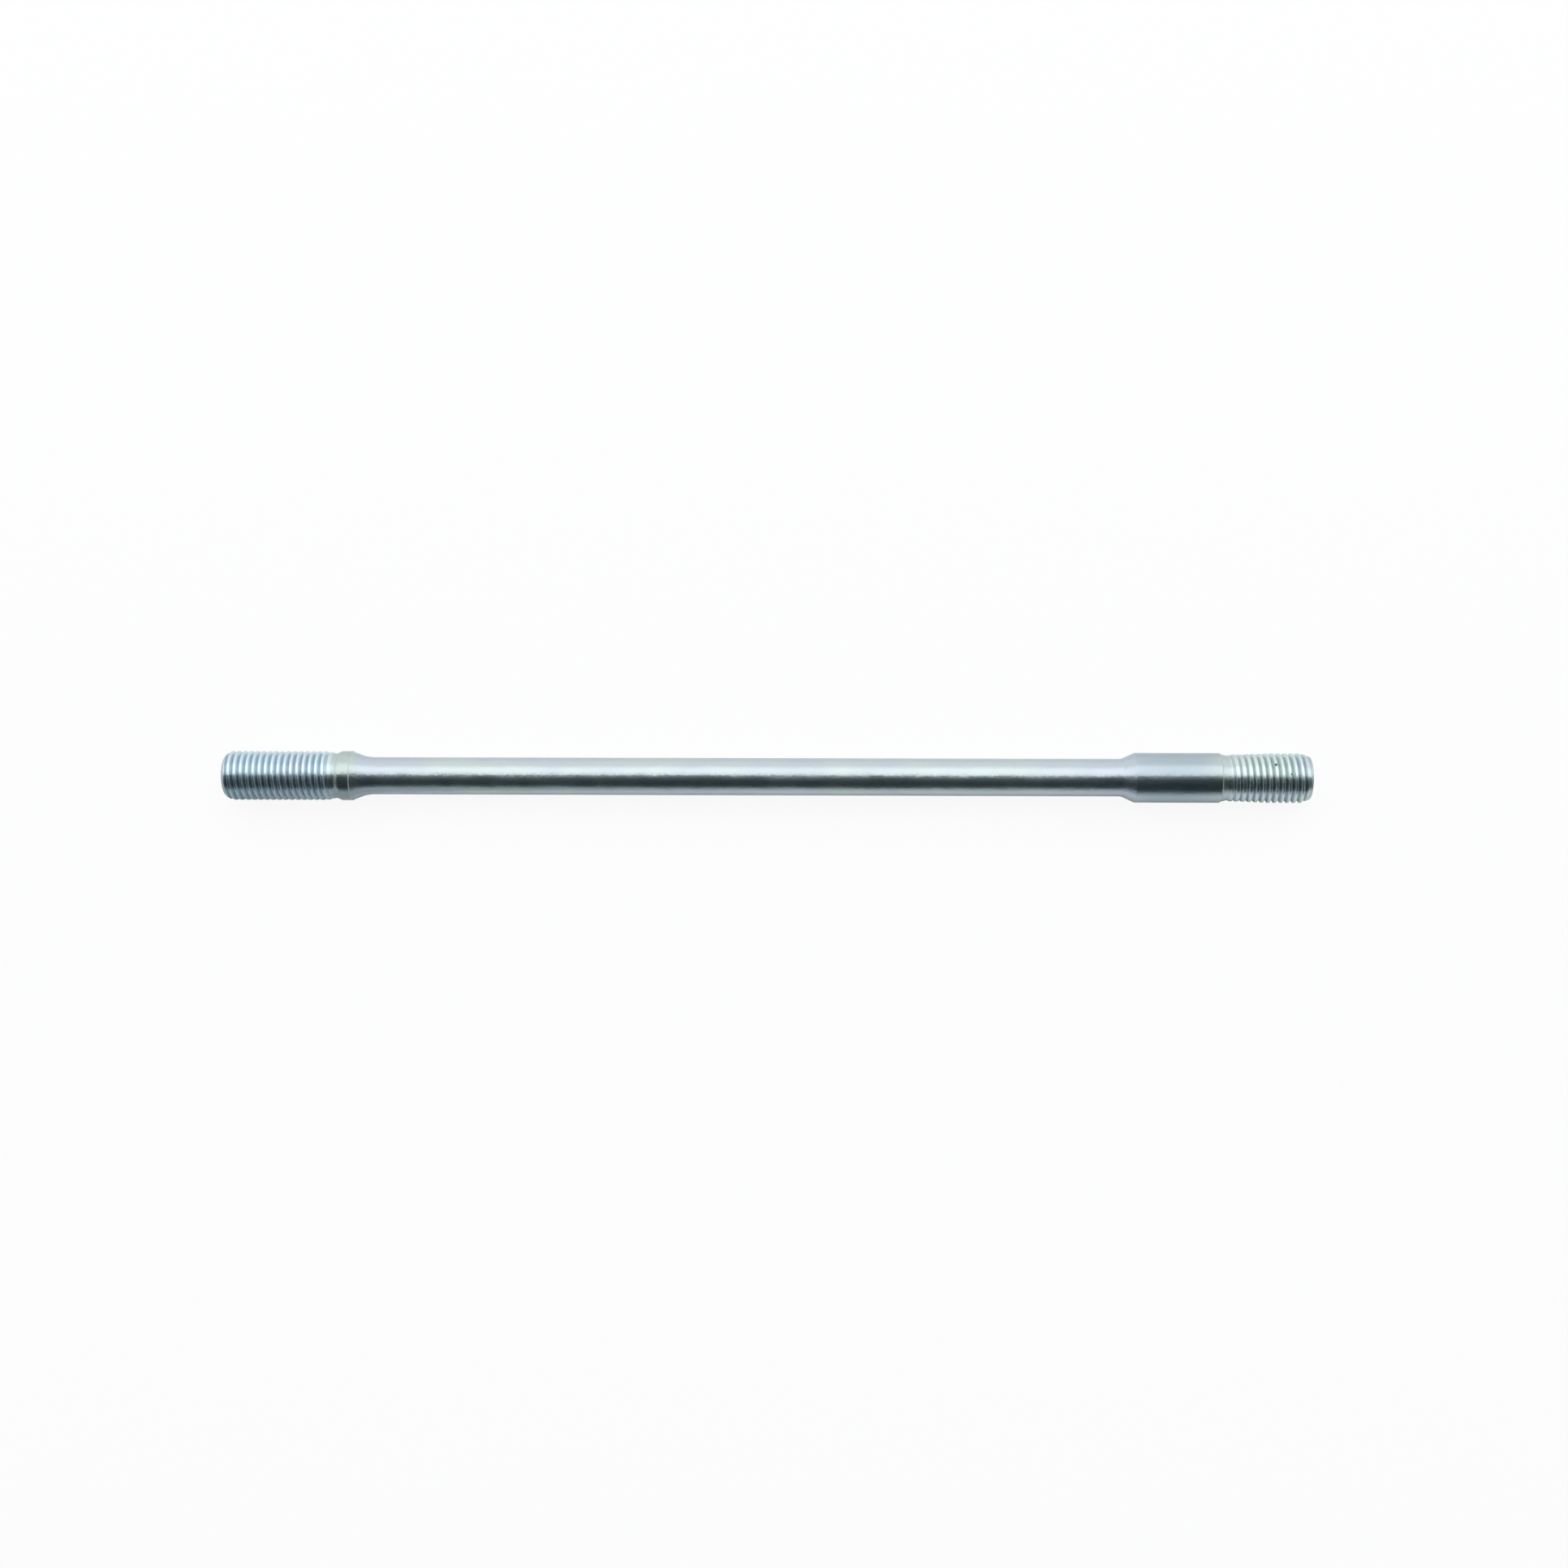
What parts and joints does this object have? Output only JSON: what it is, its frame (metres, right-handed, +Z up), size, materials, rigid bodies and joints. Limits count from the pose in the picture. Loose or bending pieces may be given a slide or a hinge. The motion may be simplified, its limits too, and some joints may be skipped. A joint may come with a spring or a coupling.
{
  "type": "stud bolt",
  "caption": "Waisted double-ended stud bolt: a fine rolled thread at each end, a thin plain shank between, a narrow land by one thread and a long collar by the other, zinc plated",
  "frame": {"origin": "on the stud's axis, at the tap-end edge of the collar, where the stud seats in its hole", "axes": "+X runs along the stud and out through the tap end, and the nut end points along -X; the stud is round about X, and +Z is up as it lies on a surface"},
  "size_m": [0.215, 0.0098, 0.0098],
  "materials": {
    "zinc_steel": "electroplated bright zinc, clear blue passivated"
  },
  "bodies": {
    "root": {"stud": "zinc_steel"}
  },
  "joints": []
}
